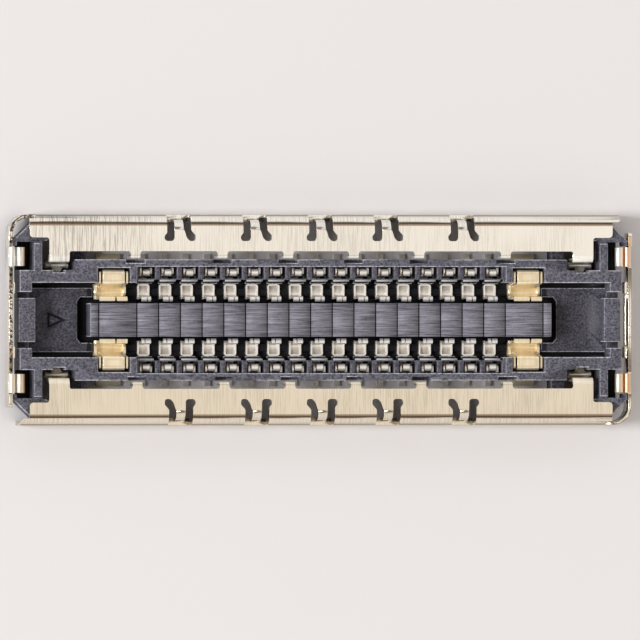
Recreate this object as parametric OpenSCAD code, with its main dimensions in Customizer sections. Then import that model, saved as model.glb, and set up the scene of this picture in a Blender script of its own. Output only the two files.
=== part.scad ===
// Shielded two-row receptacle that joins a flexible circuit to a board.
// Length along X, rows along X on both sides of the tongue, solder plane at z = 0, mating side up (+Z).

/* [Rows] */
// Distance between neighbouring contacts
pitch = 0.35; // [0.34:0.005:0.4]
// Contacts in each of the two rows
row_count = 17; // [15:2:21]
// Last signal contact to the power contact beside it, centre to centre
power_gap = 0.547; // [0.53:0.005:0.7]

/* [Shell] */
// Thickness of the shell's sheet
sheet_t = 0.06; // [0.05:0.005:0.07]
// Height of the shell's flat top over the solder plane
shell_h = 0.64; // [0.62:0.01:0.8]
// Width over the shell's long walls
shell_w = 3.35; // [3.3:0.01:3.6]
// Outer radius of the bend between the flat top and a long wall
rim_r = 0.17; // [0.12:0.01:0.2]
// Outer radius of the closed corners, seen from above
corner_r = 0.3; // [0.2:0.01:0.34]
// Power contact to the outer face of the end wall
end_reach = 1.683; // [1.6:0.005:1.8]
// Outer face of the end wall to the end of the flat top
top_back = 0.325; // [0.3:0.005:0.36]
// Half width of the gap between the two flat tops
top_gap = 1.092; // [1.06:0.005:1.12]
// Half width of that gap beside the corners
corner_gap = 1.309; // [1.28:0.005:1.34]
// How far the free end of a long wall stands past the flat top
lip = 0.13; // [0.06:0.01:0.16]
// Lower edge of the end walls
end_wall_low = 0.2; // [0.15:0.01:0.3]
// Upper edge of the end walls
end_wall_high = 0.6; // [0.55:0.01:0.62]
// Free end of an end wall, short of the other shell half's long wall
end_wall_gap = 0.285; // [0.2:0.005:0.4]

/* [Shell teeth and tabs] */
// Width of the teeth that hang beside the housing
tooth_w = 0.155; // [0.1:0.005:0.2]
// Depth of the teeth below the flat top
tooth_drop = 0.26; // [0.15:0.01:0.3]
// Width of the folded tabs that hold the housing
tab_w = 0.327; // [0.28:0.005:0.34]
// Power contact to a folded tab, centre to centre
tab_reach = 0.881; // [0.86:0.005:0.92]
// Upper edge of the folded tab's inner leg
tab_leg_high = 0.36; // [0.32:0.01:0.45]
// Lowest point of the folded tab
tab_low = 0.15; // [0.13:0.01:0.2]
// Width of the inner leg
tab_leg_w = 0.364; // [0.34:0.005:0.38]
// Width of the barb on the inner leg
barb_w = 0.13; // [0.08:0.01:0.18]
// How far the barb stands out of the inner leg
barb_out = 0.063; // [0.04:0.005:0.07]

/* [Shell springs] */
// Width of a slot beside a side spring
slot_w = 0.12; // [0.08:0.005:0.13]
// Width of a side spring at the rim
side_spring_w = 0.147; // [0.13:0.001:0.17]
// Width of an end spring
end_spring_w = 0.3; // [0.2:0.01:0.32]
// Centre line of the connector to the middle of an end spring
end_spring_y = 1.005; // [0.99:0.005:1.02]
// Thickness of the end springs
end_spring_t = 0.05; // [0.04:0.005:0.055]

/* [Housing] */
// Height of the housing
housing_h = 0.62; // [0.6:0.01:0.64]
// Stand-off of the housing over the solder plane
housing_low = 0.02; // [0.01:0.005:0.03]
// Height of the tongue between the rows
tongue_h = 0.58; // [0.5:0.01:0.6]
// Width of the tongue
tongue_w = 0.532; // [0.5:0.002:0.54]
// Power contact to the end of the tongue
tongue_reach = 0.378; // [0.34:0.002:0.42]
// Width over the housing's side walls
housing_w = 1.924; // [1.9:0.002:1.93]
// Width of the opening at the ends
opening_w = 1.182; // [1.14:0.002:1.2]
// Outer face of the end wall to the end of the opening
opening_back = 0.365; // [0.35:0.005:0.4]
// Outer face of the end wall to the end face of the housing
housing_back = 0.17; // [0.15:0.005:0.2]
// Height of the floor in the end recesses
recess_floor = 0.2; // [0.15:0.01:0.3]
// Height of the plastic under the contacts
contact_floor = 0.074; // [0.06:0.002:0.09]

/* [Signal contacts] */
// Thickness of the signal contacts
contact_t = 0.045; // [0.04:0.001:0.05]
// Width of the tray at the bottom of the groove
run_w = 0.195; // [0.17:0.001:0.198]
// Width of the crest over the pocket
crest_w = 0.107; // [0.09:0.001:0.12]
// Width over the shoulders below the crest
shoulder_w = 0.2; // [0.18:0.005:0.21]
// Width of the spring tip beside the tongue
tip_w = 0.152; // [0.12:0.002:0.17]
// Width of the solder tail
tail_w = 0.095; // [0.07:0.005:0.12]
// Height of the crest
crest_h = 0.44; // [0.4:0.01:0.5]
// Centre line of the connector to the end of the solder tails
tail_y = 1.05; // [1.03:0.005:1.08]

/* [Power contacts] */
// Thickness of the power contacts
power_t = 0.05; // [0.045:0.001:0.055]
// Width of the flat crest
power_crest_w = 0.351; // [0.3:0.003:0.38]
// Width over the flanges at the bottom of the groove
power_run_w = 0.51; // [0.45:0.005:0.515]
// Width of the spring tip
power_tip_w = 0.45; // [0.4:0.005:0.48]
// Width of the solder tail
power_tail_w = 0.39; // [0.3:0.005:0.42]
// Height of the flat crest
power_crest_h = 0.59; // [0.55:0.01:0.62]
// Height of the spring tip
power_tip_h = 0.56; // [0.5:0.01:0.6]

/* [Hidden] */
letters = ["a", "b"];
function signal_name(row, i) = str("signal_contact_", letters[row], i < 10 ? "0" : "", i);
function power_name(row, k) = str("power_contact_", letters[row], k);

eps = 0.02;
bend_step = 18;
row_half = (row_count - 1) / 2 * pitch;
power_x = row_half + power_gap;
end_x = power_x + end_reach;
top_end = end_x - top_back;
tab_x = power_x + tab_reach;
housing_end = end_x - housing_back;
opening_end = end_x - opening_back;
tongue_end = power_x + tongue_reach;
shell_y = shell_w / 2;
housing_y = housing_w / 2;
opening_y = opening_w / 2;
tongue_y = tongue_w / 2;

// Shell
sheet_mid = shell_h - sheet_t / 2;
sheet_under = shell_h - sheet_t;
wall_mid_y = shell_y - sheet_t / 2;
end_mid_x = end_x - sheet_t / 2;
tooth_face_y = housing_y + 0.016;
tooth_r = 0.03;
neck_r = 0.045;
tooth_steps = [1.51, 4.54, row_count / 2 + 0.04];
side_spring_steps = [-6.54, -3.03, 0, 3.03, 6.54];
// The teeth and side springs of a half sit this far off its middle
stamp_shift = -0.016;
slot_foot_y = top_gap + 0.278 * (shell_y - top_gap);
slot_lean = 0.05;
slot_heel = 0.04;
// The side springs stand back from the long wall, over a window with its sill folded in
spring_inset = 0.08;
sill_z = 0.3;
sill_in = 0.055;
sill_t = 0.05;
spring_end_z = sill_z + 0.06;
spring_root_y = shell_y - rim_r - spring_inset;
window_x = [-1, 1] * (side_spring_w / 2 + slot_w);
// Folded tab: the outer leg hangs from the flat top, the inner leg comes back up beside the housing
tab_pocket_y = housing_y - 0.162;
tab_inner_leg_y = tab_pocket_y + sheet_t / 2 + 0.0245;
tab_outer_leg_y = tab_inner_leg_y + sheet_t + 0.0335;
tab_bend_r = 0.04;
tab_fold_r = (tab_outer_leg_y - tab_inner_leg_y) / 2;
barb_h = 0.07;
// The inner leg is coined thinner beside its barb
tab_coin = 0.016;
// Beads pressed into the end walls towards the housing
lug_y = [0.42, 0.61];
lug_in = 0.045;
bead_in = 0.025;
bead_z = [0.28, 0.42];
lug_high = 0.52;
// End spring: over the wall, down, back up to the crest and down again
end_fold_r = 0.03;
end_crest_r = 0.045;
end_spring_top = 0.52;
end_spring_low = 0.32;
end_spring_tail = 0.37;

// Housing
wall_inner_y = 0.845;
comb_high = 0.5;
comb_edge_y = 0.64;
pocket_w = pitch - 0.082;
pocket_inner_y = 0.655;
bridge_y = 0.612;
bridge_w = 0.252;
bridge_low = 0.14;
bridge_high = 0.41;
bridge_step_y = 0.574;
bridge_step_high = 0.25;
rail_y = [0.385, 0.5];
rail_high = 0.115;
slot_clear = 0.006;
power_pocket_w = power_run_w + 0.008;
power_pocket_y = 0.827;
leg_slot_y = 0.735;
tab_pocket_half = 0.26;
tab_pocket_off = 0.002;
tab_pocket_x = [-1, 1] * tab_pocket_half + [1, 1] * (tab_x + tab_pocket_off);
rows_end = tab_pocket_x[0] - 0.003;
rib_x = [tab_pocket_x[1] + 0.01, tab_pocket_x[1] + 0.145];
rib_end_y = corner_gap - 0.093;
ear_y = rib_end_y + 0.024;
ear_outer_y = shell_y - 0.11;
ear_outer_x = end_x - sheet_t - 0.01;
// The ears reach into the inside of the rim bend, so their top follows it
rim_in = rim_r - sheet_t;
ear_in_bend = max(0, ear_outer_y - shell_y + rim_r);
ear_high = shell_h - rim_r + sqrt(rim_in * rim_in - ear_in_bend * ear_in_bend) - 0.002;
ear_low = 0.22;
arm_x = ear_outer_x - 0.06;
arm_y = ear_y - 0.065;
ear_cut_x = 0.31;
ear_cut_y = 0.78 * (ear_outer_y - arm_y);
ledge_start = 0.407;
ledge_x = power_x + ledge_start;
ledge_y = arm_y - 0.075;
ledge_high = 0.37;
base_high = 0.12;
base_y = ear_y + 0.06;
notch_w = 0.3;
notch_y = 0.905;
notch_low = 0.42;
plateau_y = 0.51;
// Moat round the ends of the tongue
moat_y = tongue_y + 0.096;
moat_x = tongue_end + 0.146;
moat_cut = [0.052, 0.067];
end_step_y = [0.349, 0.445];
end_step_high = 0.3;
end_block_x = opening_end - 0.072;
end_block_high = 0.505;
mark_line = 0.02;
mark_deep = 0.02;

// Signal contact, worked out from the tail to the tip
leg_outer_y = 0.793;
leg_inner_y = 0.7175;
crest_r = 0.0245;
contact_r = 0.05;
blade_r = 0.035;
blade_y = 0.36;
tip_r = 0.0245;
tip_turn = 150;
shoulder_drop = 0.045;
shoulder_deep = 0.1;
shoulder_lap = 0.05;
shoulder_h = crest_h - shoulder_drop;
shoulder_low = shoulder_h - shoulder_deep;
shoulder_y = [0.728, 0.832];
shoulder_gap = 0.012;
tray_y = [0.33, 0.571];
tray_high = 0.155;
tray_rim = 0.024;
tray_r = 0.04;
tip_slit = 0.016;
tip_slit_deep = 0.07;

// Power contact
power_leg_y = 0.775;
power_r = 0.05;
power_slope = 80;
power_bowl_r = 0.085;
power_blade_y = 0.353;
power_tip_r = 0.026;
power_tip_turn = 120;
power_slit = 0.03;
power_slit_x = 0.04;
power_slit_deep = 0.25;
flange_t = 0.044;
flange_y = [0.37, 0.571];
flange_high = 0.21;
cheek_t = 0.03;
cheek_x = 0.217;
cheek_y = 0.58;
cheek_high = 0.56;

// ---------- outlines ----------

function dir(a) = [cos(a), sin(a)];
function left_of(a) = [-sin(a), cos(a)];
function unit(v) = v / norm(v);
function reversed(list) = [for (i = [len(list) - 1:-1:0]) list[i]];

// One side of a bent strip. A move is [straight run, turn in degrees, bend radius at the middle of the
// sheet], and s is the side's distance to the left of the middle.
function strip_side(p, a, moves, s, i = 0) =
    i == len(moves) ? [] :
    let (
        run = moves[i][0],
        turn = moves[i][1],
        r = moves[i][2],
        k = turn > 0 ? 1 : -1,
        q = p + run * dir(a),
        centre = q + k * r * left_of(a),
        steps = max(1, ceil(abs(turn) / bend_step)),
        bend = turn == 0
            ? [q + s * left_of(a)]
            : [for (j = [0:steps]) centre - k * (r - k * s) * left_of(a + turn * j / steps)],
        next = turn == 0 ? q : centre - k * r * left_of(a + turn)
    )
    concat(bend, strip_side(next, a + turn, moves, s, i + 1));

// Outline of a strip of thickness t that starts at p in direction a and follows the moves
module strip(p, a, moves, t) {
    left = concat([p + t / 2 * left_of(a)], strip_side(p, a, moves, t / 2));
    right = concat([p - t / 2 * left_of(a)], strip_side(p, a, moves, -t / 2));
    polygon(concat(left, reversed(right)));
}

// The corner b of an outline, rounded with radius r
function round_corner(a, b, c, r) =
    r == 0 ? [b] :
    let (
        u = unit(a - b),
        v = unit(c - b),
        half = acos(u * v) / 2,
        centre = b + unit(u + v) * r / sin(half),
        from = b + u * r / tan(half) - centre,
        to = b + v * r / tan(half) - centre,
        start = atan2(from[1], from[0]),
        raw = atan2(to[1], to[0]) - start,
        sweep = raw > 180 ? raw - 360 : raw < -180 ? raw + 360 : raw,
        steps = max(2, ceil(abs(sweep) / bend_step))
    )
    [for (j = [0:steps]) centre + r * dir(start + sweep * j / steps)];

// Outline through points [x, y, corner radius]
module rounded(points) {
    n = len(points);
    polygon([for (i = [0:n - 1])
        let (a = points[(i + n - 1) % n], b = points[i], c = points[(i + 1) % n])
        each round_corner([a[0], a[1]], [b[0], b[1]], [c[0], c[1]], b[2])]);
}

// ---------- placing ----------

// An outline in (Y, Z) made w wide along X, centred
module along_x(w) translate([-w / 2, 0, 0]) rotate([90, 0, 90]) linear_extrude(w) children();

// An outline in (X, Z) made w wide along Y, centred
module along_y(w) translate([0, w / 2, 0]) rotate([90, 0, 0]) linear_extrude(w) children();

module upright(low, high) translate([0, 0, low]) linear_extrude(high - low) children();

module box_between(x, y, z) translate([x[0], y[0], z[0]]) cube([x[1] - x[0], y[1] - y[0], z[1] - z[0]]);

module box_plan(x, y) translate([x[0], y[0]]) square([x[1] - x[0], y[1] - y[0]]);

module four_corners() for (mx = [0, 1], my = [0, 1]) mirror([mx, 0, 0]) mirror([0, my, 0]) children();

module both_sides() for (my = [0, 1]) mirror([0, my, 0]) children();

// ---------- shell ----------

// Flat top, rim bend and a wall whose outer face is at y, as one strip across the connector
module wall_section(y) strip(
    [top_gap - 0.2, sheet_mid], 0,
    [
        [y - rim_r - top_gap + 0.2, -90, rim_r - sheet_t / 2],
        [shell_h - rim_r, 0, 0]
    ],
    sheet_t
);

module top_outline() {
    tab = [tab_x - tab_w / 2, tab_x + tab_w / 2];
    tab_flat_y = tab_outer_leg_y + tab_bend_r + 0.01;
    far = shell_y + eps;
    rounded([
        [-top_end, far, 0], [-top_end, corner_gap, 0.06], [-tab[1], corner_gap, 0.04],
        [-tab[1], tab_flat_y, 0], [-tab[0], tab_flat_y, 0], [-tab[0], top_gap, 0.03],
        [tab[0], top_gap, 0.03], [tab[0], tab_flat_y, 0], [tab[1], tab_flat_y, 0],
        [tab[1], corner_gap, 0.04], [top_end, corner_gap, 0.06],
        [top_end, shell_y - 0.115, 0], [top_end + lip, shell_y - 0.115, 0.05], [top_end + lip, far, 0]
    ]);
}

module tooth() along_x(tooth_w) strip(
    [top_gap + 0.1, sheet_mid], 180,
    [
        [top_gap + 0.1 - tooth_face_y - sheet_t / 2 - tooth_r, 90, tooth_r],
        [tooth_drop - tooth_r - sheet_t / 2, 0, 0]
    ],
    sheet_t
);

// The fillets where a tooth leaves the flat top
module tooth_neck() upright(sheet_under, shell_h) difference() {
    translate([-tooth_w / 2 - neck_r, top_gap - neck_r]) square([tooth_w + 2 * neck_r, neck_r + eps]);
    for (side = [-1, 1])
        translate([side * (tooth_w / 2 + neck_r), top_gap - neck_r]) circle(neck_r, $fn = 24);
}

module tab_section() strip(
    [top_gap + 0.1, sheet_mid], 180,
    [
        [top_gap + 0.1 - tab_outer_leg_y - tab_bend_r, 90, tab_bend_r],
        [sheet_mid - tab_bend_r - tab_low - sheet_t / 2 - tab_fold_r, -180, tab_fold_r],
        [tab_leg_high - tab_low - sheet_t / 2 - tab_fold_r, 0, 0]
    ],
    sheet_t
);

module folded_tab() {
    split_y = (tab_outer_leg_y + tab_inner_leg_y) / 2;
    along_x(tab_w) intersection() {
        tab_section();
        translate([split_y, 0]) square([1, shell_h]);
    }
    face_y = tab_inner_leg_y - sheet_t / 2;
    difference() {
        along_x(tab_leg_w) intersection() {
            tab_section();
            square([split_y, shell_h]);
        }
        box_between([-1, 1] * tab_leg_w, [face_y - eps, face_y + tab_coin],
            [tab_leg_high - barb_h, tab_leg_high + eps]);
    }
    upright(tab_leg_high - barb_h, tab_leg_high) polygon([
        [-barb_w / 2 - 0.02, face_y + sheet_t / 2], [-barb_w / 2 - 0.02, face_y],
        [-barb_w / 2 + 0.015, face_y - barb_out], [barb_w / 2 - 0.015, face_y - barb_out],
        [barb_w / 2 + 0.02, face_y], [barb_w / 2 + 0.02, face_y + sheet_t / 2]
    ]);
}

// Plan of the two slots that free a side spring, one straight and one leaning away from it, each with a heel
module spring_slots() {
    side = side_spring_w / 2;
    far = shell_y + eps;
    foot = slot_foot_y;
    straight_heel = side + slot_w + slot_heel;
    leaning_heel = side + slot_w + slot_lean + slot_heel / 2;
    rounded([
        [-side, far, 0], [-side, foot, 0.05], [-straight_heel, foot, 0.05],
        [-straight_heel, foot + 0.08, 0.03], [-side - slot_w, foot + 0.13, 0.03], [-side - slot_w, far, 0]
    ]);
    rounded([
        [side, far, 0], [side, foot + 0.21, 0.1], [side + slot_lean, foot + 0.05, 0.08],
        [side + 2 * slot_lean, foot, 0.04], [leaning_heel, foot, 0.04],
        [leaning_heel, foot + 0.09, 0.03], [side + slot_w, foot + 0.17, 0.04], [side + slot_w, far, 0]
    ]);
}

// Slots and window of a side spring
module side_spring_cut() {
    upright(sill_z, shell_h + eps) spring_slots();
    box_between([-1, 1] * (side_spring_w / 2 + eps), [spring_root_y, shell_y + eps], [sill_z, shell_h + eps]);
}

// A side spring from the flat top down to its free end, with the sill folded in below it
module side_spring() {
    intersection() {
        along_x(side_spring_w) wall_section(shell_y - spring_inset);
        box_between(window_x, [spring_root_y - 0.001, shell_y], [spring_end_z, shell_h + eps]);
    }
    box_between(window_x, [shell_y - sheet_t - sill_in, shell_y - sheet_t / 2], [sill_z - sill_t, sill_z]);
}

// The end wall, with the closed corner that joins it to the long wall
module end_wall() {
    start_x = top_end - 0.1;
    free_y = shell_y - end_wall_gap;
    intersection() {
        upright(end_wall_low, end_wall_high) strip(
            [-start_x, wall_mid_y], 180,
            [
                [end_x - corner_r - start_x, 90, corner_r - sheet_t / 2],
                [shell_y - corner_r + free_y, 0, 0]
            ],
            sheet_t
        );
        translate([-end_x / 2, 0, 0]) along_x(2 * end_x) rounded([
            [-free_y, end_wall_low, 0.07], [shell_y + eps, end_wall_low, 0],
            [shell_y + eps, end_wall_high, 0], [-free_y, end_wall_high, 0.07]
        ]);
    }
}

module end_spring() along_y(end_spring_w) strip(
    [-end_mid_x, end_wall_low + 0.12], 90,
    [
        [end_spring_top - end_wall_low - 0.12, -180, end_fold_r],
        [end_spring_top - end_spring_low, 180, end_fold_r],
        [end_spring_top - end_spring_low, -180, end_crest_r],
        [end_spring_top - end_spring_tail, 0, 0]
    ],
    end_spring_t
);

// Bead and two lugs pressed out of the end wall towards the housing
module end_bead() {
    face = -end_x + sheet_t;
    upright(bead_z[0], bead_z[1]) rounded([
        [face - sheet_t / 2, -lug_y[0], 0], [face, -lug_y[0], 0], [face + bead_in, -lug_y[0] + bead_in, 0],
        [face + bead_in, lug_y[0] - bead_in, 0], [face, lug_y[0], 0], [face - sheet_t / 2, lug_y[0], 0]
    ]);
    both_sides() upright(bead_z[0], lug_high) rounded([
        [face - sheet_t / 2, lug_y[0], 0], [face + lug_in, lug_y[0], 0.015],
        [face + lug_in, lug_y[1], 0.03], [face - sheet_t / 2, lug_y[1], 0]
    ]);
}

// The end wall with the slits that free its two springs
module slit_end_wall() {
    slit = 0.02;
    slit_deep = end_wall_high - end_spring_top + 0.02;
    difference() {
        end_wall();
        for (side = [-1, 1]) translate([-end_mid_x, side * end_spring_y, end_wall_high])
            cube([3 * sheet_t, end_spring_w + 2 * slit, 2 * slit_deep], center = true);
    }
}

module shell_half() {
    difference() {
        union() {
            intersection() {
                translate([lip / 2, 0, 0]) along_x(2 * top_end + lip) wall_section(shell_y);
                upright(-eps, shell_h + eps) top_outline();
            }
            for (step = tooth_steps, side = [-1, 1]) translate([side * step * pitch + stamp_shift, 0, 0]) {
                tooth();
                tooth_neck();
            }
            for (mx = [0, 1]) mirror([mx, 0, 0]) translate([tab_x, 0, 0]) folded_tab();
            slit_end_wall();
            for (side = [-1, 1]) translate([0, side * end_spring_y, 0]) end_spring();
            end_bead();
        }
        for (step = side_spring_steps) translate([step * pitch + stamp_shift, 0, 0]) side_spring_cut();
    }
    for (step = side_spring_steps) translate([step * pitch + stamp_shift, 0, 0]) side_spring();
}

module shell_half_a() color("ivory") shell_half();

module shell_half_b() color("ivory") rotate(180) shell_half();

// ---------- signal contacts ----------

module signal_section() strip(
    [tail_y, contact_t / 2], 180,
    [
        [tail_y - leg_outer_y - contact_r, -90, contact_r],
        [crest_h - contact_t - contact_r - crest_r, 90, crest_r],
        [leg_outer_y - leg_inner_y - 2 * crest_r, 90, crest_r],
        [crest_h - contact_t - crest_r - contact_floor - contact_r, -90, contact_r],
        [leg_inner_y - contact_r - blade_y - blade_r, -90, blade_r],
        [crest_h - contact_t - tip_r - contact_floor - blade_r, tip_turn, tip_r]
    ],
    contact_t
);

// The part of a section between the given sides, made w wide
module section_part(w, y, z) along_x(w) intersection() {
    children();
    translate([y[0], z[0]]) square([y[1] - y[0], z[1] - z[0]]);
}

// Tray at the foot of the blade, with a rim on three sides and round far corners
module signal_tray() {
    half = run_w / 2;
    inner = half - tray_rim;
    far = tray_y[1];
    upright(contact_floor, contact_floor + contact_t)
        box_plan([-inner, inner], [blade_y + blade_r, far - tray_rim / 2]);
    upright(contact_floor, tray_high) difference() {
        rounded([[-half, tray_y[0], 0], [-half, far, tray_r], [half, far, tray_r], [half, tray_y[0], 0]]);
        box_plan([-inner, inner], [tray_y[0] - eps, far - tray_rim]);
    }
}

// Upright shoulder beside the crest
module signal_shoulder()
    box_between([crest_w / 2 + shoulder_gap, shoulder_w / 2], shoulder_y, [shoulder_low - shoulder_lap, shoulder_h]);

module signal_contact() {
    tail_split = leg_outer_y + contact_t / 2;
    run_split = leg_inner_y - contact_t / 2;
    blade_split = blade_y + blade_r;
    difference() {
        union() {
            section_part(tail_w, [tail_split, tail_y + eps], [0, 0.2]) signal_section();
            section_part(shoulder_w, [run_split, tail_split], [0, shoulder_low]) signal_section();
            section_part(crest_w, [run_split, tail_split], [shoulder_low, crest_h + eps]) signal_section();
            section_part(crest_w, [blade_split, run_split], [0, shoulder_h]) signal_section();
            section_part(tip_w, [0, blade_split], [0, 1]) signal_section();
            for (mx = [0, 1]) mirror([mx, 0, 0]) signal_shoulder();
            signal_tray();
        }
        box_between([-tip_slit / 2, tip_slit / 2] + [1, 1] * tip_w / 8, [0, blade_split],
            [crest_h - tip_slit_deep, crest_h + 0.1]);
    }
}

module signal_contact_at(row, i) color("wheat")
    rotate(180 * row) translate([(i - (row_count + 1) / 2) * pitch, 0, 0]) signal_contact();

// ---------- power contacts ----------

// Tail, leg, flat crest, slope, round bowl and blade with its curled tip, worked out back from the blade
module power_section() {
    crest_mid = power_crest_h - power_t / 2;
    bowl_z = contact_floor + power_t / 2 + power_bowl_r;
    slope_top = crest_mid - power_r * (1 - cos(power_slope));
    slope_low = bowl_z - power_bowl_r * cos(power_slope);
    slope_run = (slope_top - slope_low) / sin(power_slope);
    slope_foot_y = power_blade_y + power_bowl_r * (1 + sin(power_slope));
    crest_end_y = slope_foot_y + slope_run * cos(power_slope) + power_r * sin(power_slope);
    strip(
        [tail_y, power_t / 2], 180,
        [
            [tail_y - power_leg_y - power_r, -90, power_r],
            [crest_mid - power_t / 2 - 2 * power_r, 90, power_r],
            [power_leg_y - power_r - crest_end_y, power_slope, power_r],
            [slope_run, -90 - power_slope, power_bowl_r],
            [power_tip_h - power_t / 2 - power_tip_r - bowl_z, power_tip_turn, power_tip_r]
        ],
        power_t
    );
}

// Upright plate beside the crest, and the flange beside the bowl that it runs into
module power_side() {
    translate([cheek_x, 0, 0]) along_x(cheek_t) rounded([
        [power_leg_y, contact_floor + 0.03, 0], [power_leg_y, cheek_high, 0.03], [cheek_y, cheek_high, 0.05],
        [cheek_y - 0.04, flange_high - 0.02, 0], [cheek_y - 0.04, contact_floor + 0.03, 0]
    ]);
    translate([(power_run_w - flange_t) / 2, 0, 0]) along_x(flange_t) rounded([
        [flange_y[1], contact_floor, 0], [flange_y[1], flange_high, 0.04],
        [flange_y[0], flange_high, 0.06], [flange_y[0], contact_floor, 0.03]
    ]);
}

module power_contact() {
    leg_split = power_leg_y + power_t / 2;
    bowl_split = power_blade_y + power_bowl_r;
    foot_high = contact_floor + 0.12;
    difference() {
        union() {
            section_part(power_tail_w, [leg_split, tail_y + eps], [0, 0.2]) power_section();
            section_part(power_crest_w, [bowl_split, leg_split], [0, 1]) power_section();
            section_part(power_run_w, [0, flange_y[1]], [0, flange_high - 0.03]) power_section();
            section_part(power_tip_w, [0, bowl_split], [0, 1]) power_section();
            section_part(2 * cheek_x, [flange_y[1], leg_split], [contact_floor, foot_high]) power_section();
            for (mx = [0, 1]) mirror([mx, 0, 0]) power_side();
        }
        translate([power_slit_x, 0, power_crest_h])
            cube([power_slit, 2 * (power_blade_y + 0.05), 2 * power_slit_deep], center = true);
    }
}

module power_contact_at(row, k) color("goldenrod")
    rotate(180 * row) translate([(k == 1 ? -1 : 1) * power_x, 0, 0])
        mirror([row, 0, 0]) power_contact();

// ---------- housing ----------

module ear_outline() {
    inner_x = tab_x + tab_w / 2 + 0.01;
    rounded([
        [inner_x, ear_y - 0.04, 0], [rib_x[1], ear_y - 0.04, 0], [rib_x[1], ear_y, 0], [arm_x, ear_y, 0],
        [arm_x, arm_y, 0.02], [ear_outer_x, arm_y, 0.02], [ear_outer_x, ear_outer_y - ear_cut_y, 0],
        [ear_outer_x - ear_cut_x, ear_outer_y, 0], [inner_x, ear_outer_y, 0]
    ]);
}

module frame_blocks() {
    upright(housing_low, housing_h) {
        square([2 * rows_end, housing_w], center = true);
        square([2 * housing_end, 2 * tab_pocket_y - 0.02], center = true);
    }
    four_corners() {
        box_between([tab_pocket_x[0] - 0.1, rows_end + 0.03], [0, housing_y], [housing_low, housing_h]);
        box_between(rib_x, [0, rib_end_y], [housing_low, housing_h]);
        box_between([ledge_x, tab_pocket_x[0]], [0, ledge_y], [housing_low, ledge_high]);
        box_between([ledge_x, housing_end], [0, ledge_y], [housing_low, base_high]);
        box_between([tab_x + tab_w / 2 + 0.01, housing_end], [0, base_y], [housing_low, base_high]);
        upright(ear_low, ear_high) ear_outline();
        box_between([rib_x[0], rib_x[1] + 0.1], [ear_y, base_y], [housing_low, ear_high]);
    }
}

// Opening for the mating plug, with the raised floor at its ends and the tongue left standing
module opening() {
    box_between([-opening_end, opening_end], [-opening_y, opening_y], [contact_floor, housing_h + eps]);
}

module tongue() {
    upright(housing_low, tongue_h) square([2 * tongue_end, tongue_w], center = true);
}

// Plan of the moat round the tongue's end, with cut corners
module moat_outline() polygon([
    [tongue_end - 0.2, -moat_y], [moat_x - moat_cut[0], -moat_y], [moat_x, -moat_y + moat_cut[1]],
    [moat_x, moat_y - moat_cut[1]], [moat_x - moat_cut[0], moat_y], [tongue_end - 0.2, moat_y]
]);

module end_floor() {
    difference() {
        upright(housing_low, recess_floor) translate([tongue_end - 0.1, -plateau_y])
            square([opening_end - tongue_end + 0.15, 2 * plateau_y]);
        upright(contact_floor, recess_floor + eps) moat_outline();
    }
    box_between([end_block_x, housing_end], [-end_step_y[0], end_step_y[0]], [housing_low, end_block_high]);
}

module end_gap() {
    block_in = housing_end + eps;
    both_sides() box_between([opening_end - 0.01, block_in], end_step_y, [end_step_high, housing_h + eps]);
    box_between([opening_end - 0.01, block_in], [-end_step_y[0] - 0.01, end_step_y[0] + 0.01],
        [end_block_high, housing_h + eps]);
}

// Long groove beside the tongue with its comb and the pocket of each signal contact, on the +Y side
module signal_row_cut() {
    span = row_half + pitch / 2;
    pocket = [-1, 1] * pocket_w / 2;
    slot = [-1, 1] * shoulder_w / 2;
    tail = [-1, 1] * (tail_w / 2 + slot_clear);
    box_between([-span, span], [opening_y - eps, wall_inner_y], [comb_high, housing_h + eps]);
    box_between([-span, span], [opening_y - eps, comb_edge_y], [contact_floor, housing_h + eps]);
    for (i = [0:row_count - 1]) translate([i * pitch - row_half, 0, 0]) {
        box_between(pocket, [pocket_inner_y, wall_inner_y], [shoulder_low, housing_h + eps]);
        box_between(slot, [comb_edge_y - eps, wall_inner_y], [contact_floor, shoulder_h]);
        box_between(slot, [leg_slot_y, wall_inner_y], [0, contact_floor + eps]);
        box_between(tail, [leg_slot_y, housing_y + eps], [0, contact_t + slot_clear]);
    }
}

module signal_bridges() {
    across = [-1, 1] * bridge_w / 2;
    for (i = [0:row_count - 1]) translate([i * pitch - row_half, 0, 0]) {
        box_between(across, [bridge_y, pocket_inner_y], [bridge_low, bridge_high]);
        box_between(across, [bridge_step_y, bridge_y + eps], [bridge_low, bridge_step_high]);
    }
}

module rails() {
    span = power_x - power_pocket_w / 2;
    for (i = [0:row_count]) {
        left = i == 0 ? -span : (i - 0.5) * pitch - row_half - (pitch - shoulder_w) / 2;
        right = i == row_count ? span : (i - 0.5) * pitch - row_half + (pitch - shoulder_w) / 2;
        box_between([left, right], rail_y, [housing_low, rail_high]);
    }
}

module power_pocket_cut() {
    tail = [-1, 1] * (power_tail_w / 2 + slot_clear);
    box_between([-1, 1] * power_pocket_w / 2, [tongue_y, power_pocket_y], [contact_floor, housing_h + eps]);
    box_between(tail, [leg_slot_y - 0.03, power_pocket_y], [0, contact_floor + eps]);
    box_between(tail, [leg_slot_y - 0.03, housing_y + eps], [0, power_t + slot_clear]);
}

module tooth_notch()
    box_between([-1, 1] * notch_w / 2, [notch_y, housing_y + eps], [notch_low, housing_h + eps]);

module tab_pocket() {
    box_between(tab_pocket_x, [tab_pocket_y, ear_y + eps], [housing_low - eps, housing_h + eps]);
    translate([tab_x, 0, 0]) box_between([-1, 1] * (barb_w / 2 + 0.03),
        [tab_inner_leg_y - sheet_t / 2 - barb_out - slot_clear, tab_pocket_y + eps],
        [tab_leg_high - barb_h - 0.01, housing_h + eps]);
}

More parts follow.
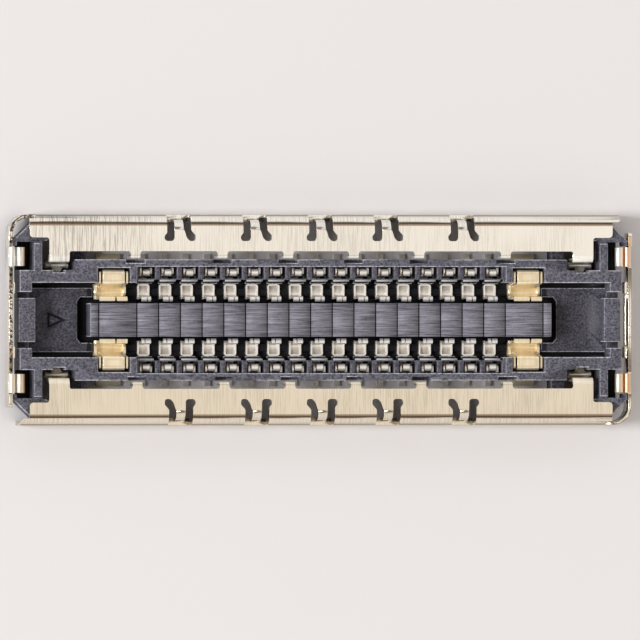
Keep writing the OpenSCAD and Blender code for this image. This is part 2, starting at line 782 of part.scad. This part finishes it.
// Fine joints across the top of the tongue, midway between the contacts
module tongue_joints() {
    ends = [-1, 1] * (power_x + 0.24);
    for (x = concat([for (i = [0:row_count]) (i - 0.5) * pitch - row_half], ends)) translate([x, 0, tongue_h])
        cube([mark_line, tongue_w + eps, 2 * mark_line], center = true);
}

// Plain triangle that marks the first contact
module first_contact_mark() {
    x = (tongue_end + opening_end) / 2;
    translate([-x, 0, recess_floor - mark_deep]) linear_extrude(mark_deep + eps) difference() {
        polygon([[-0.16, 0.13], [-0.16, -0.13], [0.16, 0]]);
        polygon([[-0.12, 0.075], [-0.12, -0.075], [0.07, 0]]);
    }
}

module housing() color("#3c3c48") difference() {
    union() {
        difference() {
            frame_blocks();
            opening();
            both_sides() {
                signal_row_cut();
                for (side = [-1, 1]) translate([side * power_x, 0, 0]) power_pocket_cut();
            }
            for (turn = [0, 180], step = tooth_steps, side = [-1, 1])
                rotate(turn) translate([side * step * pitch + stamp_shift, 0, 0]) tooth_notch();
            four_corners() tab_pocket();
            for (mx = [0, 1]) mirror([mx, 0, 0]) end_gap();
        }
        tongue();
        for (mx = [0, 1]) mirror([mx, 0, 0]) end_floor();
        both_sides() {
            signal_bridges();
            rails();
        }
    }
    tongue_joints();
    first_contact_mark();
}

// ---------- nodes ----------

housing();
shell_half_a();
shell_half_b();
for (row = [0, 1], i = [1:row_count])
    signal_contact_at(row, i);
for (row = [0, 1], k = [1, 2])
    power_contact_at(row, k);
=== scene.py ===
import math

import bmesh
import bpy
from mathutils import Matrix, Vector


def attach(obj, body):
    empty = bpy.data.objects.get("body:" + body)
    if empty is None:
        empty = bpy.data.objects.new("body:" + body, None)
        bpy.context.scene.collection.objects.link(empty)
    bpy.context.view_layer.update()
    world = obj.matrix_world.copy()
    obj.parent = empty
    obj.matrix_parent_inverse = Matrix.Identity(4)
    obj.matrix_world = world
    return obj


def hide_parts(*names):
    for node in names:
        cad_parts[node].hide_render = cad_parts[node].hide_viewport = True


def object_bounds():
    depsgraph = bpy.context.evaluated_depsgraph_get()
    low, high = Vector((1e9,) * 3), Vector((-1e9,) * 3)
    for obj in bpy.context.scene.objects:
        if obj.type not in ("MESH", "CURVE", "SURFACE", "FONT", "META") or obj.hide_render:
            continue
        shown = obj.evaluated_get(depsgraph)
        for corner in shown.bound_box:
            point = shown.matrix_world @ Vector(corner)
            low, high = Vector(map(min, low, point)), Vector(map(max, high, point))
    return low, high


# A shielded receptacle that joins a flexible circuit to a board: one moulding, a shell in two stampings
# and two rows of formed contacts. Metres; the rows run along X, the board's face is at z = 0 and the
# mating side looks up.

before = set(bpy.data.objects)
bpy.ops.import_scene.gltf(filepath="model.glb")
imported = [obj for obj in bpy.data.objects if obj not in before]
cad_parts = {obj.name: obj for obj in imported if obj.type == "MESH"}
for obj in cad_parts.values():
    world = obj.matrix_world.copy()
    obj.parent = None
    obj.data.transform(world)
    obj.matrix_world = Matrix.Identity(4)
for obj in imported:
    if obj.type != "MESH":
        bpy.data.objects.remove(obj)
cad_low, cad_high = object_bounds()

MM = 0.001
UM = 0.000001

# Places in the part that the cuts, marks and masks follow; those in X and Y hold on both sides of the middle
CONTACT_PITCH = 0.35 * MM
CONTACTS_BESIDE_MIDDLE = 8
ROW_END_X = 3.715 * MM
POWER_POCKET_X = (3.347 * MM, 4.228 * MM, 4.195 * MM)
POCKET_Y = (0.3 * MM, 0.87 * MM)
POCKET_TOP = (0.44 * MM, 0.52 * MM)
BRIDGE_Y = (0.606 * MM, 0.662 * MM)
BRIDGE_TOP = 0.41 * MM
TONGUE_HALF = 0.266 * MM
TONGUE_TOP = 0.58 * MM
JOINT_FOOT = 0.4 * MM
LONG_WALL_Y = 1.4 * MM
END_WALL_X = 4.6 * MM
END_WALL_Z = 0.55 * MM
END_SPRING_X = 4.84 * MM

# What counts as one place, as flat, bent or pressed, and as an edge, and how far the edges are rounded
SAME_PLACE = 0.05 * UM
FLAT_WITHIN = math.radians(0.5)
BENT_WITHIN = math.radians(26)
LARGEST_PRESSED = 0.01 * MM * MM
EDGE_FROM = math.radians(40)
SHARP_FROM = math.radians(50)
EDGE_STEPS = 2
HOUSING_EDGE = 14 * UM
SHELL_EDGE = 9 * UM
CONTACT_EDGE = 7 * UM


# ---------- dressing the stampings and the moulding ----------

def merged_copy(node, cuts_x=(), cuts_y=()):
    """A bmesh of a node with its loose triangles joined into flat faces, which end at the cuts."""
    bm = bmesh.new()
    bm.from_mesh(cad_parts[node].data)
    bmesh.ops.remove_doubles(bm, verts=bm.verts, dist=SAME_PLACE)
    for places, across in ((cuts_x, Vector((1, 0, 0))), (cuts_y, Vector((0, 1, 0)))):
        for place in places:
            whole = bm.verts[:] + bm.edges[:] + bm.faces[:]
            made = bmesh.ops.bisect_plane(bm, geom=whole, dist=SAME_PLACE,
                                          plane_co=across * place, plane_no=across)
            for piece in made["geom_cut"]:
                if isinstance(piece, bmesh.types.BMEdge):
                    piece.seam = True
    bmesh.ops.dissolve_limit(bm, angle_limit=FLAT_WITHIN, verts=bm.verts, edges=bm.edges, delimit={"SEAM"})
    return bm


def mark_bends(bm):
    """Marks the faces that turn gently into a neighbour, in the layer "bend", and the small ones of them,
    in the layer "pressed"."""
    bend_mark = bm.faces.layers.float.new("bend")
    pressed_mark = bm.faces.layers.float.new("pressed")
    for edge in bm.edges:
        if edge.is_manifold and FLAT_WITHIN < edge.calc_face_angle() < BENT_WITHIN:
            for face in edge.link_faces:
                face[bend_mark] = 1
                face[pressed_mark] = face.calc_area() < LARGEST_PRESSED


def mark_cut_tops(bm):
    """Marks the sheared top faces of the end walls, in the layer "cut"."""
    cut_mark = bm.faces.layers.float.new("cut")
    bend_mark = bm.faces.layers.float["bend"]
    for face in bm.faces:
        on_end_wall = all(abs(vert.co.x) > END_WALL_X and vert.co.z > END_WALL_Z for vert in face.verts)
        looks_up = face.normal.z > 0.9
        if on_end_wall and looks_up and not face[bend_mark]:
            face[cut_mark] = 1


def mark_inside(bm):
    """Marks the faces that look down, or in from the long walls, in the layer "inside", where the shell gets
    painted shade.
    """
    inside_mark = bm.faces.layers.float.new("inside")
    clearly = 0.2
    for face in bm.faces:
        middle = face.calc_center_median()
        outward = math.copysign(1, middle.y) * face.normal.y
        looks_in = abs(middle.y) > LONG_WALL_Y and outward < -clearly
        if looks_in or face.normal.z < -clearly:
            face[inside_mark] = 1


def soften_edges(bm, width):
    """Rounds the outer edges and marks the rounded faces in the layer "edge", which sets painted highlights
    on them, most where they look along Y.
    An edge that meets a very short one is left, because it would hold the width down everywhere."""
    edge_mark = bm.faces.layers.float.new("edge")
    shortest = 2.2 * width
    least_mark = 0.4
    crowded = {vert for edge in bm.edges if edge.calc_length() < shortest for vert in edge.verts}
    chosen = [
        edge for edge in bm.edges
        if edge.is_manifold and edge.is_convex and edge.calc_face_angle() > EDGE_FROM
        and not crowded & set(edge.verts)
    ]
    made = bmesh.ops.bevel(bm, geom=chosen, offset=width, offset_type="OFFSET", affect="EDGES",
                           segments=EDGE_STEPS, profile=0.5, clamp_overlap=True, material=-1)
    # The mark is the strength of the painted highlight, strongest on faces that look along Y
    for face in made["faces"]:
        face[edge_mark] = least_mark + (1 - least_mark) * abs(face.normal.y)
    bend_mark = bm.faces.layers.float["bend"]
    for face in bm.faces:
        face.smooth = face[edge_mark] + face[bend_mark] > 0


def finished(bm, name, material, node):
    """The bmesh as an object that takes the place of its node."""
    mesh = bpy.data.meshes.new(name)
    bm.to_mesh(mesh)
    bm.free()
    mesh.set_sharp_from_angle(angle=SHARP_FROM)
    mesh.materials.append(material)
    piece = bpy.data.objects.new(name, mesh)
    bpy.context.scene.collection.objects.link(piece)
    flats = piece.modifiers.new("keep flats flat", "WEIGHTED_NORMAL")
    flats.keep_sharp = True
    flats.weight = 100
    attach(piece, "root")
    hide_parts(node)


# ---------- shader helpers ----------

class Shading:
    """A node tree with short ways to add and join nodes."""

    def __init__(self, tree):
        self.tree = tree

    def feed(self, value, socket):
        """Joins a socket to another one or sets its value. A colour is given without its alpha."""
        if isinstance(value, bpy.types.NodeSocket):
            self.tree.links.new(value, socket)
        elif socket.type == "RGBA":
            socket.default_value = (*value, 1)
        else:
            socket.default_value = value

    def add(self, kind, inputs=None, **settings):
        node = self.tree.nodes.new(kind)
        for key, value in settings.items():
            setattr(node, key, value)
        for key, value in (inputs or {}).items():
            self.feed(value, node.inputs[key])
        return node

    def use(self, group, inputs):
        return self.add("ShaderNodeGroup", inputs, node_tree=group).outputs

    def coords(self):
        return self.add("ShaderNodeTexCoord").outputs["Object"]

    def axes(self, vector):
        return self.add("ShaderNodeSeparateXYZ", {"Vector": vector}).outputs

    def mark(self, layer):
        return self.add("ShaderNodeAttribute", attribute_name=layer).outputs["Fac"]

    def math(self, operation, a, b=0.0):
        return self.add("ShaderNodeMath", {0: a, 1: b}, operation=operation).outputs[0]

    def product(self, first, *others):
        for other in others:
            first = self.math("MULTIPLY", first, other)
        return first

    def all_but(self, mask):
        return self.math("SUBTRACT", 1.0, mask)

    def noise(self, coords, scale, detail=2.0, roughness=0.5):
        inputs = {"Vector": coords, "Scale": scale, "Detail": detail, "Roughness": roughness}
        return self.add("ShaderNodeTexNoise", inputs).outputs["Fac"]

    def ramp(self, value, zero_at, one_at):
        """0 at one value and 1 at the other, smooth between."""
        inputs = {"Value": value, "From Min": zero_at, "From Max": one_at}
        return self.add("ShaderNodeMapRange", inputs, interpolation_type="SMOOTHSTEP").outputs["Result"]

    def band(self, value, low, high, soft=0.004 * MM):
        """1 between two values, fading to 0 over a soft width outside both."""
        return self.product(self.ramp(value, low - soft, low), self.ramp(value, high + soft, high))

    def blend(self, share, a, b, how="MIX"):
        """The colour a with a share of the colour b."""
        node = self.add("ShaderNodeMix", {"Factor": share}, data_type="RGBA", blend_type=how)
        self.feed(a, node.inputs[6])
        self.feed(b, node.inputs[7])
        return node.outputs[2]

    def tint(self, body, color, *masks):
        """The body colour, giving way to another one where every mask is high."""
        return self.blend(self.product(*masks), body, color)

    def bump(self, height, distance, strength):
        inputs = {"Height": height, "Distance": distance, "Strength": strength}
        return self.add("ShaderNodeBump", inputs).outputs["Normal"]


def new_group(name, inputs, outputs):
    """A shader group; inputs are (name, kind, value) and outputs (name, kind)."""
    tree = bpy.data.node_groups.new(name, "ShaderNodeTree")
    for label, kind, value in inputs:
        socket = tree.interface.new_socket(label, in_out="INPUT", socket_type=kind)
        if value is not None:
            socket.default_value = value
    for label, kind in outputs:
        tree.interface.new_socket(label, in_out="OUTPUT", socket_type=kind)
    shade = Shading(tree)
    return shade, shade.add("NodeGroupInput").outputs, shade.add("NodeGroupOutput").inputs


def new_material(name):
    """A material with its Shading and the inputs of its shader."""
    material = bpy.data.materials.new(name)
    material.use_nodes = True
    material.node_tree.nodes.clear()
    shade = Shading(material.node_tree)
    shader = shade.add("ShaderNodeBsdfPrincipled")
    shade.add("ShaderNodeOutputMaterial", {"Surface": shader.outputs["BSDF"]})
    return material, shade, shader.inputs


# ---------- shared effects ----------

def make_grain_group():
    """Fine irregular grain, as a value round 0.5 and as sparse bright flecks."""
    shade, given, out = new_group(
        "moulded grain",
        [("Vector", "NodeSocketVector", None), ("Grain Size", "NodeSocketFloat", 0.03 * MM)],
        [("Grain", "NodeSocketFloat"), ("Flecks", "NodeSocketFloat")],
    )
    grains_per_metre = shade.math("DIVIDE", 1.0, given["Grain Size"])
    flecks_per_metre = shade.product(grains_per_metre, 2.3)
    flecks = shade.noise(given["Vector"], flecks_per_metre, 1.0)
    shade.feed(shade.noise(given["Vector"], grains_per_metre, 3.0, 0.6), out["Grain"])
    shade.feed(shade.ramp(flecks, 0.62, 0.76), out["Flecks"])
    return shade.tree


def make_plated_group():
    """Metal with darker streaks along Y, which come in patches, and with a painted highlight where it is
    marked as an edge.
    It also gives the streaks and the patches, as values round 0.5."""
    streak_length = 0.5 * MM
    patches_per_metre = 900.0
    shade, given, out = new_group(
        "streaked plating",
        [("Vector", "NodeSocketVector", None), ("Streak Width", "NodeSocketFloat", 0.02 * MM),
         ("Streak Share", "NodeSocketFloat", 0.4), ("Edge", "NodeSocketFloat", 0.0),
         ("Color", "NodeSocketColor", None), ("Shadow", "NodeSocketColor", None)],
        [("Color", "NodeSocketColor"), ("Streaks", "NodeSocketFloat"), ("Patches", "NodeSocketFloat")],
    )
    across = shade.math("DIVIDE", 1.0, given["Streak Width"])
    along = 1 / streak_length
    per_metre = shade.add("ShaderNodeCombineXYZ", {"X": across, "Y": along, "Z": along}).outputs[0]
    drawn_out = shade.add("ShaderNodeVectorMath", {0: given["Vector"], 1: per_metre}, operation="MULTIPLY")
    streaks = shade.noise(drawn_out.outputs[0], 1.0, 3.0, 0.65)
    patches = shade.noise(given["Vector"], patches_per_metre)
    dark = shade.all_but(shade.ramp(streaks, 0.3, 0.62))
    in_patches = shade.ramp(patches, 0.2, 0.7)
    color = shade.tint(given["Color"], given["Shadow"], dark, in_patches, given["Streak Share"])
    # Painted highlight on the rounded edges
    shade.feed(shade.tint(color, (1, 0.98, 0.93), given["Edge"], 0.6), out["Color"])
    shade.feed(streaks, out["Streaks"])
    shade.feed(patches, out["Patches"])
    return shade.tree


grain_group = make_grain_group()
plated_group = make_plated_group()


# ---------- materials ----------

def painted_shade_by_depth(shade, place, over_tongue):
    """A mask for painted shade: 1 on the high parts of the moulding, and low in the recesses, pockets and
    joints, where the colour is darkened as shade.
    """
    high = place["Z"]
    in_rows = shade.ramp(shade.math("ABSOLUTE", place["X"]), ROW_END_X + 0.01 * MM, ROW_END_X)
    between_walls = shade.band(shade.math("ABSOLUTE", place["Y"]), *POCKET_Y)
    pockets = shade.product(between_walls, shade.ramp(high, POCKET_TOP[1], POCKET_TOP[0]), in_rows)
    joints = shade.product(over_tongue, shade.band(high, JOINT_FOOT, TONGUE_TOP - 0.012 * MM), in_rows)
    over_base = shade.product(shade.ramp(high, 0.181 * MM, 0.197 * MM), 0.65)
    near_top = shade.product(shade.ramp(high, 0.25 * MM, 0.5 * MM), 0.35)
    out_of_pockets = shade.all_but(shade.product(pockets, 0.85))
    out_of_joints = shade.all_but(shade.product(joints, 0.9))
    return shade.product(shade.math("ADD", over_base, near_top), out_of_pockets, out_of_joints)


def make_housing_plastic():
    """Glass-filled moulding with painted shade, blue-black in its depths and greyer where it is high, combed
    along its tongue.
    """
    lines_long, lines_fine = 1800, 46000  # per metre
    material, shade, into = new_material("housing_plastic")
    coords = shade.coords()
    grain = shade.use(grain_group, {"Vector": coords, "Grain Size": 0.032 * MM})
    place = shade.axes(coords)
    high = place["Z"]
    off_middle = shade.math("ABSOLUTE", place["Y"])
    over_tongue = shade.ramp(off_middle, TONGUE_HALF + 0.005 * MM, TONGUE_HALF - 0.002 * MM)
    on_top = shade.ramp(high, TONGUE_TOP - 0.008 * MM, TONGUE_TOP - 0.004 * MM)
    tongue = shade.product(on_top, over_tongue)
    lines = (lines_long, lines_fine, lines_long)
    stretched = shade.add("ShaderNodeMapping", {"Vector": coords, "Scale": lines})
    combed = shade.noise(stretched.outputs["Vector"], 1.0, 4.0, 0.7)

    body = shade.blend(shade.ramp(grain["Grain"], 0.32, 0.68), (0.04, 0.041, 0.057), (0.16, 0.156, 0.19))
    lined = shade.blend(shade.ramp(combed, 0.32, 0.66), (0.06, 0.058, 0.075), (0.3, 0.288, 0.335))
    body = shade.tint(body, lined, tongue, 0.85)
    body = shade.tint(body, (0.4, 0.4, 0.45), grain["Flecks"], 0.55)
    # Painted shade: near black down in the recesses, pockets and joints, and darker the lower it lies
    body = shade.blend(painted_shade_by_depth(shade, place, over_tongue), (0.006, 0.006, 0.009), body)

    # Painted highlights: pale on the rounded edges, most where they look along Y, and on the bridges between
    # the contacts' two halves
    edge_highlight = shade.ramp(shade.mark("edge"), 0.1, 1.1)
    in_places = shade.ramp(grain["Grain"], 0.25, 0.6)
    off_base = shade.ramp(high, 0.1 * MM, 0.2 * MM)
    body = shade.tint(body, (0.78, 0.78, 0.85), edge_highlight, in_places, off_base, 0.9)
    bridge_tops = shade.band(high, BRIDGE_TOP - 0.02 * MM, BRIDGE_TOP + 0.01 * MM)
    body = shade.tint(body, (0.72, 0.7, 0.72), shade.band(off_middle, *BRIDGE_Y), bridge_tops, 0.85)

    shade.feed(body, into["Base Color"])
    shade.feed(0.22, into["Specular IOR Level"])
    shade.feed(shade.ramp(grain["Grain"], -0.4, 1.4), into["Roughness"])
    height = shade.add("ShaderNodeMix", {"Factor": tongue, 2: grain["Grain"], 3: combed}, data_type="FLOAT")
    shade.feed(shade.bump(height.outputs[0], 5 * UM, 0.6), into["Normal"])
    return material


def make_gold(name, color, shadow, streak_width, roughness, painted_light_from):
    """Gold flash on a drawn ribbon, with painted light that whitens it above a height."""
    material, shade, into = new_material(name)
    coords = shade.coords()
    plated = shade.use(plated_group, {"Vector": coords, "Streak Width": streak_width, "Streak Share": 0.35,
                                      "Edge": shade.mark("edge"), "Color": color, "Shadow": shadow})
    painted_top_light = shade.ramp(shade.axes(coords)["Z"], painted_light_from, painted_light_from + 0.03 * MM)
    # Painted light: near white above that height
    body = shade.tint(plated["Color"], (1, 0.99, 0.96), painted_top_light)
    uneven = shade.product(plated["Patches"], 0.12)
    shade.feed(body, into["Base Color"])
    shade.feed(0.62, into["Metallic"])
    shade.feed(shade.math("ADD", uneven, roughness - 0.06), into["Roughness"])
    shade.feed(shade.bump(plated["Streaks"], 0.5 * UM, 0.5), into["Normal"])
    return material


def cut_top_reflection(shade, coords, place):
    """Sheared metal, mottled by its burr, under a painted dark reflection, less of it towards +X."""
    specks_per_metre = 26000
    specks = shade.noise(coords, specks_per_metre, 2.0, 0.6)
    cleaner = shade.product(shade.ramp(place["X"], -1 * MM, 1 * MM), 0.16)
    clean = shade.ramp(shade.math("ADD", specks, cleaner), 0.44, 0.56)
    return shade.blend(clean, (0.035, 0.022, 0.015), (0.85, 0.79, 0.68))


def make_shell_plating():
    """Brushed plating over the sheet, duller on what is pressed, with a painted dark reflection on its
    sheared top edges, painted shade on its inner faces, and painted reflections on the rim's bends and the
    end springs.
    """
    material, shade, into = new_material("shell_plating")
    coords = shade.coords()
    plated = shade.use(plated_group, {
        "Vector": coords, "Streak Width": 0.016 * MM, "Streak Share": 0.45, "Edge": shade.mark("edge"),
        "Color": (0.9, 0.885, 0.815), "Shadow": (0.45, 0.42, 0.35),
    })
    place = shade.axes(coords)
    off_middle = shade.math("ABSOLUTE", place["Y"])
    off_centre = shade.math("ABSOLUTE", place["X"])
    wall_face = cad_high[1]
    bend, pressed = shade.mark("bend"), shade.mark("pressed")

    # Scuffed near one corner, and browner towards -Y
    to_left = shade.ramp(place["X"], -2.2 * MM, -3.6 * MM)
    to_back = shade.ramp(place["Y"], 0.0, 1.0 * MM)
    scuffs = shade.ramp(plated["Streaks"], 0.52, 0.42)
    body = shade.tint(plated["Color"], (0.3, 0.29, 0.27), to_left, to_back, scuffs, 0.45)
    to_front = shade.product(shade.ramp(place["Y"], 1.0 * MM, -1.0 * MM), 0.75)
    body = shade.blend(to_front, body, (0.84, 0.76, 0.64), "MULTIPLY")

    # Painted dark reflection, mottled by the burr, on the sheared tops of the end walls
    body = shade.tint(body, cut_top_reflection(shade, coords, place), shade.mark("cut"), 0.92)
    # Painted shade: near black on the faces that look down, or in from the long walls
    body = shade.tint(body, (0.06, 0.055, 0.05), shade.mark("inside"), 0.85)

    # Painted dark reflections in bands where the rim bends out of the plate and into the wall
    rim = shade.product(bend, shade.all_but(pressed), shade.ramp(place["Z"], 0.46 * MM, 0.5 * MM))
    at_plate = shade.band(off_middle, wall_face - 0.17 * MM, wall_face - 0.13 * MM, 0.015 * MM)
    at_wall = shade.ramp(off_middle, wall_face - 0.033 * MM, wall_face - 0.02 * MM)
    body = shade.tint(body, (0.3, 0.21, 0.15), rim, shade.math("MAXIMUM", at_plate, at_wall), 0.85)

    # A painted warm, dark reflection on the side of each end spring towards +X
    pressed_ends = shade.product(pressed, shade.ramp(off_middle, 1.36 * MM, 1.3 * MM))
    spring = shade.product(shade.math("SIGN", place["X"]), END_SPRING_X)
    past_spring = shade.math("SUBTRACT", place["X"], spring)
    warm_reflection = shade.band(past_spring, 0.06 * MM, 0.15 * MM, 0.05 * MM)
    body = shade.tint(body, (0.8, 0.4, 0.12), warm_reflection, pressed_ends, 0.75)

    # Less of a mirror on the end springs and the folded tabs
    before_end_wall = shade.all_but(shade.ramp(off_centre, END_WALL_X, END_WALL_X + 0.05 * MM))
    tabs = shade.product(shade.ramp(off_middle, 1.03 * MM, 1.0 * MM), before_end_wall)
    dulled = shade.math("ADD", shade.product(pressed_ends, 0.3), shade.product(tabs, 0.6))
    dulled = shade.math("MINIMUM", dulled, 1.0)
    uneven = shade.math("ADD", shade.product(plated["Patches"], 0.1), 0.14)
    shade.feed(body, into["Base Color"])
    shade.feed(shade.all_but(dulled), into["Metallic"])
    shade.feed(shade.math("ADD", uneven, shade.product(pressed_ends, 0.2)), into["Roughness"])
    shade.feed(shade.bump(plated["Streaks"], 0.6 * UM, 0.5), into["Normal"])
    return material


housing_plastic = make_housing_plastic()
shell_plating = make_shell_plating()
signal_gold = make_gold("signal_gold", color=(1, 0.97, 0.91), shadow=(0.72, 0.63, 0.5),
                        streak_width=0.02 * MM, roughness=0.3, painted_light_from=0.4 * MM)
power_gold = make_gold("power_gold", color=(0.99, 0.88, 0.64), shadow=(0.75, 0.5, 0.22),
                       streak_width=0.03 * MM, roughness=0.32, painted_light_from=0.7 * MM)


# ---------- pieces ----------

def dress_housing():
    # Cuts through the pockets, so that no flat face runs round one
    rows = [n * CONTACT_PITCH for n in range(-CONTACTS_BESIDE_MIDDLE, CONTACTS_BESIDE_MIDDLE + 1)]
    ends = [side * place for side in (-1, 1) for place in POWER_POCKET_X]
    bm = merged_copy("housing", rows + ends, (0,))
    mark_bends(bm)
    soften_edges(bm, HOUSING_EDGE)
    finished(bm, "housing_moulding", housing_plastic, "housing")


def dress_shell_half(letter):
    bm = merged_copy("shell_half_" + letter)
    mark_bends(bm)
    mark_cut_tops(bm)
    mark_inside(bm)
    soften_edges(bm, SHELL_EDGE)
    finished(bm, "shell_stamping_" + letter, shell_plating, "shell_half_" + letter)


def dress_contact(node, gold):
    bm = merged_copy(node)
    mark_bends(bm)
    soften_edges(bm, CONTACT_EDGE)
    finished(bm, node + "_ribbon", gold, node)


dress_housing()
for letter in "ab":
    dress_shell_half(letter)
for node in sorted(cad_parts):
    if node.startswith("signal_contact_"):
        dress_contact(node, signal_gold)
    elif node.startswith("power_contact_"):
        dress_contact(node, power_gold)


# ---------- floor, light and camera ----------

def make_floor():
    """A pale floor just under the solder plane, which isn't seen from below."""
    bm = bmesh.new()
    bmesh.ops.create_grid(bm, x_segments=1, y_segments=1, size=0.6)
    bmesh.ops.translate(bm, vec=(0, 0, -3 * UM), verts=bm.verts)
    mesh = bpy.data.meshes.new("pale_floor")
    bm.to_mesh(mesh)
    bm.free()
    material, shade, into = new_material("pale_floor")
    shade.feed((0.74, 0.72, 0.72), into["Base Color"])
    shade.feed(0.85, into["Roughness"])
    nodes = shade.tree.nodes
    seen_from_below = shade.add("ShaderNodeNewGeometry").outputs["Backfacing"]
    lit = nodes["Principled BSDF"].outputs["BSDF"]
    clear = shade.add("ShaderNodeBsdfTransparent").outputs["BSDF"]
    either = shade.add("ShaderNodeMixShader", {"Fac": seen_from_below, 1: lit, 2: clear})
    shade.feed(either.outputs[0], nodes["Material Output"].inputs["Surface"])
    mesh.materials.append(material)
    ground = bpy.data.objects.new("pale_floor", mesh)
    bpy.context.scene.collection.objects.link(ground)


def panel(name, towards, spread, strength, color):
    """A soft light panel, seen from the object at two angles from straight up, towards +X and +Y, and
    reaching as far as the spread to each side; strength is its brightness as a mirror would show it."""
    distance = 0.3
    lean_x, lean_y = (math.tan(math.radians(angle)) for angle in towards)
    up = Vector((lean_x, lean_y, 1)).normalized()
    across = Vector((up.z, 0, -up.x)).normalized()
    along = up.cross(across)
    lamp = bpy.data.lights.new(name, "AREA")
    lamp.shape = "RECTANGLE"
    lamp.size, lamp.size_y = (2 * distance * math.tan(math.radians(angle)) for angle in spread)
    lamp.energy = strength * math.pi * lamp.size * lamp.size_y
    lamp.color = color
    holder = bpy.data.objects.new(name, lamp)
    holder.matrix_world = Matrix((across, along, up)).transposed().to_4x4()
    holder.location = up * distance
    holder.visible_camera = False
    bpy.context.scene.collection.objects.link(holder)


def make_room():
    """A room that is pale round the horizon and brown overhead."""
    # Height of the direction looked in, from 0 at the horizon to 1 straight up
    pale_to, brown_from = 0.74, 0.79
    world = bpy.data.worlds.new("studio")
    world.use_nodes = True
    world.node_tree.nodes.clear()
    shade = Shading(world.node_tree)
    direction = shade.add("ShaderNodeTexCoord").outputs["Generated"]
    overhead = shade.ramp(shade.axes(direction)["Z"], pale_to, brown_from)
    tone = shade.blend(overhead, (0.92, 0.9, 0.89), (0.24, 0.18, 0.13))
    room = shade.add("ShaderNodeBackground", {"Color": tone})
    shade.add("ShaderNodeOutputWorld", {"Surface": room.outputs[0]})
    bpy.context.scene.world = world


def make_camera():
    """A camera almost straight above, leaning to -X, whose view is a little wider than the part."""
    tilt = math.radians(10.2)
    view_width = 10.178 * MM
    aim_height = 0.442 * MM
    distance = 0.25
    lens = bpy.data.cameras.new("camera")
    lens.sensor_width = 36
    lens.lens = lens.sensor_width * distance / view_width
    lens.clip_start, lens.clip_end = 0.01, 5
    camera = bpy.data.objects.new("camera", lens)
    camera.location = (-distance * math.sin(tilt), 0, aim_height + distance * math.cos(tilt))
    camera.rotation_euler = (0, -tilt, 0)
    bpy.context.scene.collection.objects.link(camera)
    bpy.context.scene.camera = camera
    bpy.context.scene.view_settings.view_transform = "Standard"


make_floor()
panel("overhead", towards=(12, 0), spread=(14, 12), strength=0.8, color=(1, 0.985, 0.97))
panel("side", towards=(-50, 0), spread=(12, 8), strength=20, color=(0.97, 0.98, 1))
make_room()
make_camera()
